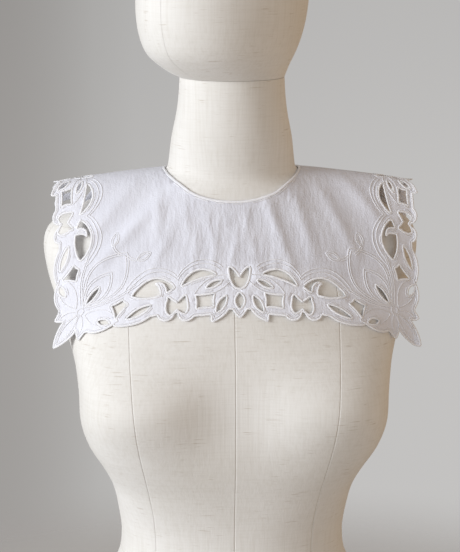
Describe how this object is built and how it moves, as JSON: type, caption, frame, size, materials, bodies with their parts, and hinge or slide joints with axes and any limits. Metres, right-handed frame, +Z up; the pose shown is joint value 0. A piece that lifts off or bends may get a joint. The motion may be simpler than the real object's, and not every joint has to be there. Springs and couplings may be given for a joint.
{
  "type": "lace collar on dress form",
  "caption": "Square white cotton collar with a round neck and a cutwork flower border, laid over the shoulders of a plain limbless dress form with a head.",
  "frame": {"origin": "centre of the form's flat base at the hips, on the floor", "axes": "+Z up, the form's front faces -Y, +X to the viewer's right"},
  "size_m": [0.39, 0.248, 0.8438],
  "materials": {
    "white_cotton": "plain woven cotton with satin-stitched edges",
    "natural_linen": "plain woven linen stretched over the form",
    "shell_button": "polished, shell-like"
  },
  "bodies": {
    "root": {"collar_front": "white_cotton", "collar_back_left": "white_cotton", "collar_back_right": "white_cotton", "neck_binding": "white_cotton", "button_loop": "white_cotton", "neck_button": "shell_button", "form_body": "natural_linen", "form_head": "natural_linen"}
  },
  "joints": []
}
